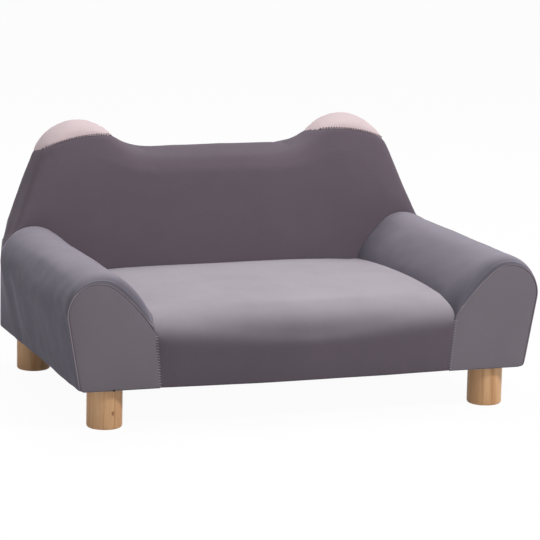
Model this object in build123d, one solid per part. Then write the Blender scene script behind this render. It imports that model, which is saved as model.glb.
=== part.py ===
from build123d import *
from dataclasses import dataclass, replace
import math
import os

# A small upholstered sofa bed for a dog: two rolled arms, a seat and a back with two rounded ears.
# X runs to the right, Y to the back and Z up. The origin is on the floor under the middle of the body.

# Body over the cloth
body_depth = 524.0
leg_height = 62.0
cloth = 1.5
cloth_gap = 0.2
soft_gap = 0.3
overrun = 60.0

# Seat
seat_bow = 8.0
seat_proud = 4.0
seat_roll = 60.0
seat_side_roll = 47.0
seat_crest_z = 181.0
seat_side_drop = 8.0
seat_rear_drop = 10.0
seat_rise = 3.0
seat_tuck = 4.0

# Arms
arm_width = 124.0
arm_taper = 6.0
arm_overhang = 20.0
arm_crest_z = 244.5
arm_radius = 58.0
arm_flank_z = 165.0
arm_flank_slope = 60.0
arm_shoulder_turn = 128.0
arm_rear_radius = 56.0
arm_rear_drop = 1.5
arm_roll_depth = 21.0

# Front panel of an arm
panel_radius = 46.5
panel_drop = 16.0
panel_in = 3.0
panel_flank_in = 8.0
panel_flank_drop = 18.0

# Back
back_half_width = 361.0
back_thickness = 87.0
back_face_z = 244.0
back_lean = 7.8
back_edge = 22.0
hip_radius = 290.0
saddle_z = 360.5
saddle_blend = 90.0

# Ears
ear_side_inset = 128.0
ear_rise = 48.0
ear_radius = 80.0
flank_foot_turn = 51.6
ear_seam_in = 28.0
ear_seam_drop = 20.0
ear_seam_radius = 226.0
ear_seam_tilt = 15.0

# Padding under the cloth
arm_foam = 14.0
back_foam = 32.0

# Legs and their fixings
leg_diameter = 55.0
leg_side_inset = 45.5
leg_front_inset = 49.0
leg_rear_inset = 62.5
leg_foot_round = 4.0
leg_top_chamfer = 1.5
bolt_diameter = 8.0
bolt_in_leg = 26.0
bolt_above_leg = 22.0
bolt_hole_gap = 0.1
bolt_hole_spare = 2.0
nut_barrel_diameter = 10.0
nut_flange_diameter = 20.0
nut_flange = 1.6

# Timber
rail_width = 64.0
rear_rail_width = 70.0
rail_height = 22.0
riser = 12.0
deck = 9.0
deck_top_z = 130.0
former = 12.0
liner = 2.5
slat_width = 30.0
slat = 12.0
side_slat_z = 110.0
cross_rail_width = 44.0
back_board = 9.0
rear_board = 3.0
post_width = 24.0
post_clear = 12.0
side_post = 17.0
side_post_top_z = 170.0

# Cloth under the body
dust_cloth = 0.8
dust_margin = 14.0
dust_corner = 18.0
dust_hole = 12.0

# Angles
half_turn = 180.0
quarter_turn = 90.0
roll_turns = [0, 22.5, 45, 67.5, quarter_turn]
edge_turns = [0, 30, 60, quarter_turn]

# Where the seat is cut across, as shares of its half width from the middle
seat_shares = [-1, -0.85, -0.5, 0, 0.5, 0.85, 1]

# Places worked out from the sizes above
half_depth = body_depth / 2
arm_face_y = -half_depth + seat_bow + seat_proud
back_face_y = half_depth - back_thickness
seat_half_width = back_half_width - arm_width
arm_foot_x = back_half_width + arm_taper
arm_out_x = arm_foot_x + arm_overhang
ear_x = back_half_width - ear_side_inset
ear_top_z = saddle_z + ear_rise
ear_seam_x = ear_x - ear_seam_in
ear_seam_top_z = ear_top_z - ear_seam_drop
leg_half_spacing = back_half_width - leg_side_inset
skin = cloth + cloth_gap
body_z = leg_height + dust_cloth
heel_z = body_z - overrun
rail_z = body_z + cloth_gap
rail_top_z = rail_z + rail_height
arm_core = skin + arm_foam
frame_front_y = arm_face_y + arm_core
frame_rear_y = half_depth - skin - rear_board - soft_gap
frame_half_width = arm_foot_x - arm_core
arm_in_x = seat_half_width + soft_gap
leg_front_y = -half_depth + leg_front_inset
leg_rear_y = half_depth - leg_rear_inset
deck_z = deck_top_z - deck
lean_rise = math.tan(math.radians(back_lean))
arm_rear_y = back_face_y + (rail_top_z - back_face_z) * lean_rise - soft_gap - former


def upright(y):
    """The plane across the sofa at one depth, with local x as X and local y as Z."""
    return Plane(origin=(0, y, 0), x_dir=(1, 0, 0), z_dir=(0, -1, 0))


def leaning(depth):
    """The plane parallel to the face of the back, that far behind it. Local y starts at back_face_z."""
    tilt = math.radians(back_lean)
    face = Plane(origin=(0, back_face_y, back_face_z), x_dir=(1, 0, 0),
                 z_dir=(0, -math.cos(tilt), math.sin(tilt)))
    return face.offset(-depth)


def on_circle(centre, radius, angle):
    """The point of a circle at an angle in degrees."""
    turn = math.radians(angle)
    return centre[0] + radius * math.cos(turn), centre[1] + radius * math.sin(turn)


def tangent_angle(centre, radius, point, side):
    """The angle at which the line from a point outside the circle touches it, on one side."""
    across, up = point[0] - centre[0], point[1] - centre[1]
    reach = math.acos(radius / math.hypot(across, up))
    return math.degrees(math.atan2(up, across) + side * reach)


def arc(centre, radius, start, end):
    """An arc of a circle from one angle to another."""
    middle = (start + end) / 2
    return ThreePointArc(*[on_circle(centre, radius, angle) for angle in (start, middle, end)])


def above(solid, floor):
    """The part of a solid above a height."""
    return split(solid, bisect_by=Plane.XY.offset(floor), keep=Keep.TOP)


def block(x, y, z):
    """A box from its limits along each axis."""
    size = [high - low for low, high in (x, y, z)]
    middle = [(high + low) / 2 for low, high in (x, y, z)]
    return Pos(*middle) * Box(*size)


def both_sides(name, solid):
    """Writes the right-hand solid and its mirror image."""
    save(f"{name}_right", solid)
    save(f"{name}_left", mirror(solid, about=Plane.YZ))


def save(name, solid):
    """Writes one piece to its own file."""
    os.makedirs("parts", exist_ok=True)
    export_step(solid, f"parts/{name}.step")


# Arms

@dataclass(frozen=True)
class ArmShape:
    """The section of an arm: a round crest, a sloping inner flank and straight feet."""
    crest_x: float
    crest_z: float
    radius: float
    flank_x: float
    flank_z: float
    foot_x: float

    def centre(self):
        """The middle of the round crest, as X and Z."""
        return self.crest_x, self.crest_z - self.radius

    def towards(self, other, share):
        """The section that lies that share of the way to another one."""
        mine, theirs = vars(self), vars(other)
        return ArmShape(**{key: mine[key] + (theirs[key] - mine[key]) * share for key in mine})

    def inset(self, amount):
        """The same section drawn in all round."""
        fall = amount * math.tan(math.radians((quarter_turn - arm_flank_slope) / 2))
        return replace(self, crest_z=self.crest_z - amount, radius=self.radius - amount,
                       flank_x=self.flank_x + amount, flank_z=self.flank_z - fall,
                       foot_x=self.foot_x - amount)

    def face(self, plane, foot_in):
        """The closed section on a plane, whose feet go on straight down below the body."""
        centre = self.centre()
        out_foot, in_foot = (self.foot_x, body_z), (foot_in, body_z)
        out_heel, in_heel = (self.foot_x, heel_z), (foot_in, heel_z)
        start = tangent_angle(centre, self.radius, out_foot, 1)
        shoulder = on_circle(centre, self.radius, arm_shoulder_turn)
        heading = (-math.sin(math.radians(arm_shoulder_turn)), math.cos(math.radians(arm_shoulder_turn)))
        side = Line(out_foot, on_circle(centre, self.radius, start))
        crest = arc(centre, self.radius, start, arm_shoulder_turn)
        flank = TangentArc(shoulder, (self.flank_x, self.flank_z), tangent=heading)
        edges = [Line(out_heel, out_foot), side, crest, flank, Line((self.flank_x, self.flank_z), in_foot),
                 Line(in_foot, in_heel), Line(in_heel, out_heel)]
        return plane * make_face(edges)


arm_middle = ArmShape(arm_out_x - arm_radius, arm_crest_z, arm_radius, arm_in_x, arm_flank_z, arm_foot_x)
arm_panel = ArmShape(arm_out_x - panel_in - panel_radius, arm_crest_z - panel_drop, panel_radius,
                     arm_in_x + panel_flank_in, arm_flank_z - panel_flank_drop, arm_foot_x - panel_in)
rear_taper = arm_foot_x - back_half_width
arm_rear = ArmShape(arm_out_x - rear_taper - arm_rear_radius, arm_crest_z - arm_rear_drop, arm_rear_radius,
                    arm_in_x, arm_flank_z, back_half_width)


def arm_form(inset, open_front=False):
    """The outer form of an arm drawn in by inset: a rolled front edge and a slightly tapered body."""
    front = arm_face_y + (0 if open_front else inset)
    depth = arm_roll_depth - (front - arm_face_y)
    foot_in = arm_in_x + inset
    sections = []
    for angle in roll_turns:
        turn = math.radians(angle)
        y = front + depth * (1 - math.cos(turn))
        shape = arm_panel.towards(arm_middle, math.sin(turn)).inset(inset)
        sections.append(shape.face(upright(y), foot_in))
    roll = loft(sections)
    rear = arm_rear.inset(inset).face(upright(back_face_y + overrun), foot_in)
    return roll + loft([sections[-1], rear], ruled=True)


def arm_trim(solid, gap):
    """Cuts an arm piece off at the bottom and, with a gap, at the face of the back."""
    return split(above(solid, body_z), bisect_by=leaning(-gap), keep=Keep.TOP)


def arm_at(y):
    """The section of the arm's body at one depth."""
    start, end = arm_face_y + arm_roll_depth, back_face_y + overrun
    return arm_middle.towards(arm_rear, (y - start) / (end - start))


def arm_tube(inset, front, rear, floor):
    """The arm's body drawn in by inset, between two depths and above a floor."""
    sections = [arm_at(y).inset(inset).face(upright(y), arm_in_x + inset) for y in (front, rear)]
    return above(loft(sections, ruled=True), floor)


def frame_room():
    """The space that the flat rails take up, which cloth and foam leave free."""
    reach = frame_half_width + soft_gap
    return block((-reach, reach), (frame_front_y - soft_gap, frame_rear_y + soft_gap),
                 (-overrun, rail_top_z + soft_gap))


def make_arm():
    """Cloth, foam and timber of the right-hand arm, each written with its mirror image."""
    form, lining = arm_form(0), arm_form(cloth, open_front=True)
    both_sides("arm_cover", arm_trim(form - lining, soft_gap) - frame_room())

    panel = arm_panel.inset(skin).face(upright(arm_face_y), arm_in_x + skin)
    both_sides("arm_front_panel", above(extrude(panel, -cloth), body_z))

    hollow_rear = arm_rear_y + former + soft_gap
    hollow = arm_tube(arm_core, frame_front_y - cloth_gap, hollow_rear, heel_z)
    both_sides("arm_foam", arm_trim(arm_form(skin) - hollow, soft_gap) - frame_room())

    liner_in = arm_core + cloth_gap
    former_in = liner_in + liner + cloth_gap
    rear = arm_rear_y + former
    shell = arm_tube(liner_in, frame_front_y, rear, rail_top_z)
    shell -= arm_tube(liner_in + liner, frame_front_y, rear, rail_top_z)
    both_sides("arm_liner", shell)
    both_sides("arm_front_former", arm_tube(former_in, frame_front_y, frame_front_y + former, rail_top_z))
    both_sides("arm_rear_former", arm_tube(former_in, arm_rear_y, rear, rail_top_z))

    between = (frame_front_y + former, arm_rear_y)
    small = arm_rear.inset(former_in)
    crest_x = (arm_middle.crest_x + arm_rear.crest_x) / 2
    half = slat_width / 2
    drop = small.radius - math.sqrt(small.radius ** 2 - (half + rear_taper) ** 2)
    crest_top = small.crest_z - drop
    crest_z = (crest_top - slat, crest_top)
    both_sides("arm_crest_slat", block((crest_x - half, crest_x + half), between, crest_z))
    side_z = (side_slat_z, side_slat_z + slat_width)
    both_sides("arm_outer_slat", block((small.foot_x - slat, small.foot_x), between, side_z))
    both_sides("arm_inner_slat", block((small.flank_x, small.flank_x + slat), between, side_z))


# Seat

def seat_section(share, inset):
    """The seat cut front to back, at a share of its half width from the middle."""
    reach = seat_half_width - inset
    front = arm_face_y - seat_proud - seat_bow * (1 - share ** 2) + inset
    radius = seat_roll + (seat_side_roll - seat_roll) * share ** 2 - inset
    crest = seat_crest_z - seat_side_drop * share ** 4 - inset
    centre = (front + radius, crest - radius)
    foot, heel = (front + seat_tuck, body_z), (front + seat_tuck, heel_z)
    start = tangent_angle(centre, radius, foot, -1) + 2 * half_turn
    top = quarter_turn + seat_rise
    heading = (math.cos(math.radians(seat_rise)), math.sin(math.radians(seat_rise)))
    rear = (back_face_y, crest - seat_rear_drop)
    back_heel = (back_face_y, heel_z)
    roll_end = on_circle(centre, radius, top)
    edges = [Line(heel, foot), Line(foot, on_circle(centre, radius, start)), arc(centre, radius, start, top),
             TangentArc(roll_end, rear, tangent=heading), Line(rear, back_heel), Line(back_heel, heel)]
    across = Plane(origin=(share * reach, 0, 0), x_dir=(0, 1, 0), z_dir=(1, 0, 0))
    return across * make_face(edges)


def seat_form(inset):
    """The crowned seat with its rolled front edge, bowed forward in the middle, drawn in by inset."""
    return loft([seat_section(share, inset) for share in seat_shares])


def seat_trim(solid):
    """Cuts a seat piece off at the bottom and at the face of the back."""
    return split(above(solid, body_z), bisect_by=leaning(-soft_gap), keep=Keep.TOP) - frame_room()


def make_seat():
    """Cloth, foam, deck and bearers of the seat."""
    save("seat_cover", seat_trim(seat_form(0) - seat_form(cloth)))
    reach = seat_half_width - skin - soft_gap
    rear = arm_rear_y + riser
    under = block((-body_depth, body_depth), (frame_front_y - soft_gap, body_depth),
                  (-overrun, deck_top_z + cloth_gap))
    save("seat_foam", seat_trim(seat_form(skin) - under))
    save("seat_deck", block((-reach, reach), (frame_front_y, rear), (deck_z, deck_top_z)))
    upright_z = (rail_top_z, deck_z)
    save("seat_front_riser", block((-reach, reach), (frame_front_y, frame_front_y + riser), upright_z))
    save("seat_rear_riser", block((-reach, reach), (arm_rear_y, rear), upright_z))
    between = (frame_front_y + riser, arm_rear_y)
    both_sides("seat_bearer", block((reach - riser, reach), between, upright_z))
    save("seat_bearer_middle", block((-riser / 2, riser / 2), between, upright_z))


# Back

ear_centre = (ear_x, ear_top_z - ear_radius)
flank_foot = on_circle(arm_rear.centre(), arm_rear.radius, flank_foot_turn)
ear_flank_turn = tangent_angle(ear_centre, ear_radius, flank_foot, 1)
blend_z = saddle_z + saddle_blend
blend_x = ear_x - math.sqrt((ear_radius + saddle_blend) ** 2 - (blend_z - ear_centre[1]) ** 2)
ear_inner_turn = math.degrees(math.atan2(blend_z - ear_centre[1], blend_x - ear_x))


def flank_meets_arm(inset):
    """The point where the straight flank under the ear runs into the round of the arm."""
    centre = arm_rear.centre()
    start = on_circle(ear_centre, ear_radius - inset, ear_flank_turn)
    turn = math.radians(ear_flank_turn)
    down = (math.sin(turn), -math.cos(turn))
    gap = (start[0] - centre[0], start[1] - centre[1])
    along = gap[0] * down[0] + gap[1] * down[1]
    radius = arm_rear.radius - inset
    reach = -along - math.sqrt(along ** 2 - gap[0] ** 2 - gap[1] ** 2 + radius ** 2)
    return start[0] + reach * down[0], start[1] + reach * down[1]


def front_side(inset, roll):
    """Heel, foot, bulge over the arm's end and flank, up to the ear, on the face of the back."""
    shape = arm_rear.inset(inset)
    centre = shape.centre()
    heel, foot = (shape.foot_x, heel_z), (shape.foot_x, body_z)
    start = tangent_angle(centre, shape.radius, foot, 1)
    top = flank_meets_arm(inset)
    end = math.degrees(math.atan2(top[1] - centre[1], top[0] - centre[0]))
    ear_turn = tangent_angle(ear_centre, ear_radius - inset - roll, top, 1)
    ear_start = on_circle(ear_centre, ear_radius - inset - roll, ear_turn)
    edges = [Line(heel, foot), Line(foot, on_circle(centre, shape.radius, start)),
             arc(centre, shape.radius, start, end), Line(top, ear_start)]
    return edges, ear_turn


def rear_side(inset, roll):
    """Heel, foot, hip and flank, up to the ear, at the rear of the back."""
    draw = inset + roll
    turn = math.radians(ear_flank_turn)
    tangent = on_circle(ear_centre, ear_radius, ear_flank_turn)
    hip_x = back_half_width - hip_radius
    reach = (hip_x + hip_radius * math.cos(turn) - tangent[0]) / math.sin(turn)
    hip = (hip_x, tangent[1] - reach * math.cos(turn) - hip_radius * math.sin(turn))
    side_x = back_half_width - draw
    heel, foot, waist = (side_x, heel_z), (side_x, body_z), (side_x, hip[1])
    edges = [Line(heel, foot), Line(foot, waist), arc(hip, hip_radius - draw, 0, ear_flank_turn),
             Line(on_circle(hip, hip_radius - draw, ear_flank_turn),
                  on_circle(ear_centre, ear_radius - draw, ear_flank_turn))]
    return edges, ear_flank_turn


def back_outline(side, inset, roll=0.0):
    """The closed outline of the back with both ears: side gives its lower part."""
    edges, ear_turn = side(inset, roll)
    draw = inset + roll
    blend = saddle_blend + draw
    edges += [arc(ear_centre, ear_radius - draw, ear_turn, ear_inner_turn),
              arc((blend_x, blend_z), blend, ear_inner_turn + half_turn, half_turn + quarter_turn)]
    low = saddle_z - draw
    heel = edges[0] @ 0
    edges += [mirror(edge, about=Plane.YZ) for edge in edges]
    edges += [Line((blend_x, low), (-blend_x, low)), Line((heel.X, heel_z), (-heel.X, heel_z))]
    return make_face(edges)


def on_lean(depth, outline):
    """Puts an outline, drawn in true heights, on the leaning plane at a depth."""
    return leaning(depth) * (Pos(0, -back_face_z) * outline)


def back_form(inset):
    """The outer form of the back drawn in by inset: a leaning face, an upright rear and rounded edges."""
    edge = back_edge - inset
    front, rear = [], []
    for angle in edge_turns:
        turn = math.radians(angle)
        roll, depth = edge * (1 - math.sin(turn)), inset + edge * (1 - math.cos(turn))
        front.append(on_lean(depth, back_outline(front_side, inset, roll)))
        rear.append(upright(half_depth - depth) * back_outline(rear_side, inset, roll))
    return loft(front) + loft([front[-1], rear[-1]], ruled=True) + loft(rear)


def behind_face(inset, depth, floor, rear):
    """A block with the back's outline, from a depth behind the leaning face to a plane at the rear."""
    solid = extrude(upright(rear) * back_outline(rear_side, inset), half_depth)
    return above(split(solid, bisect_by=leaning(depth), keep=Keep.BOTTOM), floor)


def ear_room(side, gap):
    """The space above the seam of one ear, which falls from the face of the back to its rear."""
    x = sorted((side * (blend_x + ear_x) / 2, side * body_depth))
    seam_y = back_face_y + (ear_seam_top_z - back_face_z) * lean_rise
    low = ear_seam_top_z - ear_seam_radius / math.cos(math.radians(ear_seam_tilt))
    turned = Rot(quarter_turn - ear_seam_tilt, 0, 0) * Cylinder(ear_seam_radius + gap, 2 * body_depth)
    return block(x, (0, body_depth), (low, body_depth)) - Pos(side * ear_seam_x, seam_y, low) * turned


def make_back_cover():
    """The cloth of the back: a front piece that turns over the edges, a rear panel and two ear caps."""
    shell = back_form(0) - back_form(cloth)
    shell = above(shell, body_z) - frame_room()
    for name, side in (("ear_cap_right", 1), ("ear_cap_left", -1)):
        save(name, shell & ear_room(side, cloth_gap))
        shell -= ear_room(side, 0)
    reach = 2 * cloth
    flat = [upright(half_depth + reach) * back_outline(rear_side, back_edge + gap) for gap in (0, cloth_gap)]
    save("back_rear_panel", shell & extrude(flat[1], 2 * reach))
    save("back_cover", shell - extrude(flat[0], 2 * reach))


def make_back_frame():
    """Foam, boards, posts and rail inside the back."""
    hollow = behind_face(arm_core, skin + back_foam, heel_z, half_depth + overrun)
    save("back_foam", above(back_form(skin) - hollow, body_z) - frame_room())

    inset = arm_core + cloth_gap
    front, behind = skin + back_foam + cloth_gap, skin + back_foam + cloth_gap + back_board
    solid = behind_face(inset, front, rail_top_z, half_depth)
    save("back_front_board", split(solid, bisect_by=leaning(behind), keep=Keep.TOP))
    board = upright(frame_rear_y + rear_board) * back_outline(rear_side, back_edge + soft_gap)
    save("back_rear_board", above(extrude(board, rear_board), rail_top_z))

    def between_boards(x, z):
        solid = block(x, (0, frame_rear_y), z)
        return split(solid, bisect_by=leaning(behind), keep=Keep.BOTTOM)

    half = post_width / 2
    ear_top = ear_top_z - inset - post_clear
    both_sides("back_ear_post", between_boards((ear_x - half, ear_x + half), (rail_top_z, ear_top)))
    out = back_half_width - inset
    both_sides("back_side_post", between_boards((out - side_post, out), (rail_top_z, side_post_top_z)))
    rail_z_limits = (saddle_z - inset - post_width, saddle_z - inset)
    save("back_centre_post", between_boards((-half, half), (rail_top_z, rail_z_limits[0])))
    save("back_top_rail", between_boards((half - ear_x, ear_x - half), rail_z_limits))


# Base frame, legs and their fixings

leg_places = [(x * leg_half_spacing, y) for y in (leg_front_y, leg_rear_y) for x in (-1, 1)]
leg_names = ["front_left", "front_right", "rear_left", "rear_right"]


def rod(place, radius, low, high):
    """An upright cylinder at a place on the floor plan, between two heights."""
    return Pos(place[0], place[1], (low + high) / 2) * Cylinder(radius, high - low)


def make_base():
    """Flat rails with a bored and recessed hole over each leg."""
    barrel = nut_barrel_diameter / 2 + bolt_hole_gap
    flange = nut_flange_diameter / 2 + bolt_hole_gap
    recess_z = rail_top_z - nut_flange - bolt_hole_gap
    holes = Part()
    for place in leg_places:
        holes += rod(place, barrel, 0, rail_top_z + overrun)
        holes += rod(place, flange, recess_z, rail_top_z + overrun)
    z = (rail_z, rail_top_z)
    full = (-frame_half_width, frame_half_width)
    front_end, rear_start = frame_front_y + rail_width, frame_rear_y - rear_rail_width
    save("base_front_rail", block(full, (frame_front_y, front_end), z) - holes)
    save("base_rear_rail", block(full, (rear_start, frame_rear_y), z) - holes)
    inner = frame_half_width - rail_width
    both_sides("base_side_rail", block((inner, frame_half_width), (front_end, rear_start), z))
    cross_end = arm_rear_y + riser
    save("base_cross_rail", block((-inner, inner), (cross_end - cross_rail_width, cross_end), z))


def make_legs():
    """Turned legs, each with a hanger bolt that screws into a nut let into the rail above."""
    bolt = bolt_diameter / 2
    for name, place in zip(leg_names, leg_places):
        leg = rod(place, leg_diameter / 2, 0, leg_height)
        leg = fillet(leg.edges().filter_by(GeomType.CIRCLE).sort_by(Axis.Z)[0], leg_foot_round)
        leg = chamfer(leg.edges().filter_by(GeomType.CIRCLE).sort_by(Axis.Z)[-1], leg_top_chamfer)
        hole_bottom = leg_height - bolt_in_leg - bolt_hole_spare
        leg -= rod(place, bolt + bolt_hole_gap, hole_bottom, leg_height + overrun)
        save(f"leg_{name}", leg)
    bolts, nuts = [], []
    for place in leg_places:
        bolts.append(rod(place, bolt, leg_height - bolt_in_leg, leg_height + bolt_above_leg))
        nut = rod(place, nut_barrel_diameter / 2, rail_z + cloth_gap, rail_top_z)
        nut += rod(place, nut_flange_diameter / 2, rail_top_z - nut_flange, rail_top_z)
        nuts.append(nut - rod(place, bolt + bolt_hole_gap, 0, rail_top_z + overrun))
    save("leg_hanger_bolts", Compound(children=bolts))
    save("leg_tee_nuts", Compound(children=nuts))


def make_dust_cover():
    """The thin black cloth under the body, with a hole for each bolt."""
    half = back_half_width - dust_margin
    front, rear = arm_face_y + dust_margin, half_depth - dust_margin
    sheet = block((-half, half), (front, rear), (leg_height, body_z))
    sheet = fillet(sheet.edges().filter_by(Axis.Z), dust_corner)
    for place in leg_places:
        sheet -= rod(place, dust_hole / 2, 0, leg_height + overrun)
    save("dust_cover", sheet)


make_arm()
make_seat()
make_back_cover()
make_back_frame()
make_base()
make_legs()
make_dust_cover()
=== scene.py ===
import math

import bmesh
import bpy
import numpy as np
from mathutils import Matrix, Vector, noise


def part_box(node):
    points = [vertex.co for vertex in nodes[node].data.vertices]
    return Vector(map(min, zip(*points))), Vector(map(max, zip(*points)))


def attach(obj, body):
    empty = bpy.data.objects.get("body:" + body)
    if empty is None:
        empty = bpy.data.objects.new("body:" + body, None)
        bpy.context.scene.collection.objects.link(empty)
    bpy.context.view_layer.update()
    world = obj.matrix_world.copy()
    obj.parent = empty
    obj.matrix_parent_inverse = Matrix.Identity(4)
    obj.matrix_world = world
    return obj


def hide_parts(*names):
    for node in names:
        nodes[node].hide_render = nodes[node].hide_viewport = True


# A small velvet sofa bed with two rounded ears on its back. Metres, X to the right, Y to the back, Z up.
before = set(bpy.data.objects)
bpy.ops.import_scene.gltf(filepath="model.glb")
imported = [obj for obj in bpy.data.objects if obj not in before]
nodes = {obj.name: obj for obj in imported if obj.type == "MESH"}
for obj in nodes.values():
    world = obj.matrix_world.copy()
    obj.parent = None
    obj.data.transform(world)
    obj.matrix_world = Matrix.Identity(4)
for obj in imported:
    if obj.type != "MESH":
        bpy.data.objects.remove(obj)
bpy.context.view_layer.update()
BODY = "root"
SIDES = {1: "right", -1: "left"}

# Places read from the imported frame
arm_low, arm_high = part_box("arm_cover_right")
seat_low, seat_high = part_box("seat_cover")
cloth_low, cloth_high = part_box("dust_cover")
BOTTOM_Z = seat_low.z
FACE_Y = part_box("arm_front_panel_right")[0].y
REAR_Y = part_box("back_cover")[1].y
EAR_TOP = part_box("ear_cap_right")[1].z
BACK_X = 0.361

# Arms: a round crest, a sloping inner flank and straight feet
ARM_RADIUS = 0.058
ARM_IN_X = arm_low.x
ARM_FLANK_Z = 0.165
ARM_FOOT_X = arm_high.x - 0.020
SHOULDER_TURN = 128.0
FLANK_TURN = 15.0
ARM_REAR_RADIUS = 0.056
ARM_REAR_DROP = 0.0015
ROLL_DEPTH = 0.021
PANEL_RADIUS = 0.0465
PANEL_DROP = 0.016
PANEL_IN = 0.003
PANEL_FLANK_IN = 0.008
PANEL_FLANK_DROP = 0.018
PANEL_HEM, PANEL_CORNER = 0.0022, 0.009

# Back
LEAN = math.tan(math.radians(7.8))
LEAN_FOOT_Y, LEAN_FOOT_Z = 0.175, 0.244
BACK_EDGE = 0.022
HIP_RADIUS = 0.290
SADDLE_Z = 0.3605
SADDLE_BLEND = 0.090
EAR_RADIUS = 0.080
EAR_X, EAR_Z = EAR = 0.233, EAR_TOP - EAR_RADIUS
EAR_TURN = 22.4
EAR_SEAM_X, EAR_SEAM_TOP, EAR_SEAM_RADIUS = 0.205, 0.3875, 0.226
EAR_SEAM_TILT = math.radians(7.5)
EAR_SEAM_Z = EAR_SEAM_TOP - EAR_SEAM_RADIUS / math.cos(EAR_SEAM_TILT)
BLEND_Z = SADDLE_Z + SADDLE_BLEND
BLEND_X = EAR_X - math.sqrt((EAR_RADIUS + SADDLE_BLEND) ** 2 - (BLEND_Z - EAR_Z) ** 2)
EAR_INNER_TURN = math.degrees(math.atan2(BLEND_Z - EAR_Z, BLEND_X - EAR_X))
FOOT_POINTS = 60

# Seat
SEAT_X = seat_high.x
SEAT_PROUD, SEAT_BOW = 0.004, 0.008
SEAT_ROLL, SEAT_SIDE_ROLL = 0.060, 0.047
SEAT_SLOPE, SEAT_SIDE_SLOPE = 1.12, 1.60
SEAT_CREST_Z, SEAT_SIDE_DROP, SEAT_REAR_DROP = 0.181, 0.005, 0.007
SEAT_RISE = 3.0
SEAT_TUCK = 0.004
SEAT_CREASE = 0.010
SEAT_SIDE_EDGE = 0.0012
SEAT_SPREAD = 84
SEAT_TURN_IN = 0.014
SEAM_BAND_START, REAR_CLEAR, ARM_GAP_MOST, SEAT_PRESS = 0.0030, 0.004, 0.014, 0.0007

# Seams: a valley, a fine ridge beside it and the turned-in edge of the cloth
HEM_ROUND = 0.006
TOUCH = 0.0004
SEAM_DEPTH = 0.0009
SEAM_BAND = 0.0072
SEAM_BAND_RISE = 0.0006
SEAM_RIDGE_WAY, SEAM_RIDGE_WIDTH, SEAM_RIDGE_RISE = 0.0016, 0.0008, 0.0007
PANEL_CROWN, CROWN_REACH = 0.0026, 0.014
INNER_CORNER = 0.0010
RIDGE_RADIUS = 0.0008
REAR_RIDGE, REAR_RIDGE_STEP = 0.0008, 0.006

# Cloth over foam: how far it swells, and the strength, size and seed of its uneven hollows
SWELL = 0.0015
HEM_HELD = 0.012
PRESSURE, BACK_PRESSURE = 4.0, 3.5
MOST_SWELL, SEAT_MOST_SWELL = 0.0030, 0.0022
ARM_HOLLOWS, ARM_CREASES, WRAP_CALM = (0.0011, 0.09, 3), (0.0006, 0.028, 8), 0.3
PANEL_HOLLOWS = (0.0008, 0.05, 12)
SEAT_HOLLOWS, SEAT_CREASES = (0.0006, 0.15, 21), (0.0002, 0.05, 23)
BACK_HOLLOWS, BACK_CREASES = (0.0014, 0.11, 31), (0.0005, 0.035, 33)
RAY_START = 0.1

# Where something begins and where it is full: firm hold of the cloth, hollows, and the back's narrowing
ARM_SEAM_HELD, ARM_REAR_HELD = (0.012, 0.035), (-0.09, -0.005)
ARM_HOLLOWS_GROW, ARM_CREASES_GROW, PANEL_HOLLOWS_GROW = (0.01, 0.05), (0.01, 0.03), (0.002, 0.02)
SEAT_SIDE_MEETS, SEAT_CALM = (SEAT_X - 0.045, SEAT_X - 0.004), (SEAT_X - 0.02, SEAT_X)
SEAT_REAR_HELD, SEAT_SIDE_HELD = (-0.014, -0.002), (SEAT_X - 0.016, SEAT_X - 0.004)
BACK_SIDE_HELD, BACK_SIDE_FREE, BACK_SIDEWAYS_HELD = (0.315, 0.330), (0.03, 0.05), (0.45, 0.8)
FLANK_DRAW_FADES, FLANK_DRAW_GROWS = (0.05, 0.12), (0.28, 0.32)
DUST_SAG_GROWS, DUST_RIPPLE_GROWS = (0.03, 0.12), (0.008, 0.03)


# Outlines

def points(start, end, count):
    """Evenly spaced points on a line, without the last one."""
    start, end = np.array(start), np.array(end)
    return [start + (end - start) * k / count for k in range(count)]


def arc(centre, radius, start, sweep, count, last=0):
    """Evenly spaced points on an arc, its angles in radians, with its last point or without."""
    angles = [start + sweep * k / count for k in range(count + last)]
    return [np.array([centre[0] + radius * math.cos(a), centre[1] + radius * math.sin(a)]) for a in angles]


def round_points(centre, radius, start, end, count):
    """Evenly spaced points on an arc between two angles in degrees, without the last one."""
    return arc(centre, radius, math.radians(start), math.radians(end - start), count)


def on_circle(centre, radius, angle):
    return arc(centre, radius, math.radians(angle), 0, 1)[0]


def tangent_angle(centre, radius, point, side):
    """The angle at which the line from a point outside the circle touches it, on one side."""
    across, up = point[0] - centre[0], point[1] - centre[1]
    reach = math.acos(radius / math.hypot(across, up))
    return math.degrees(math.atan2(up, across) + side * reach)


def bend_points(start, heading, end, count):
    """Points on the arc that leaves start along heading and reaches end, without the last one."""
    start, end = np.array(start), np.array(end)
    chord = end - start
    normal = np.array([-heading[1], heading[0]])
    lift = float(chord @ normal)
    if abs(lift) < 1e-9:
        return points(start, end, count)
    radius = float(chord @ chord) / (2 * lift)
    centre = start + normal * radius
    first, last = (math.atan2(*(p - centre)[::-1]) for p in (start, end))
    sweep = (last - first) % (2 * math.pi) - (2 * math.pi if radius < 0 else 0)
    return arc(centre, abs(radius), first, sweep, count)


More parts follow.
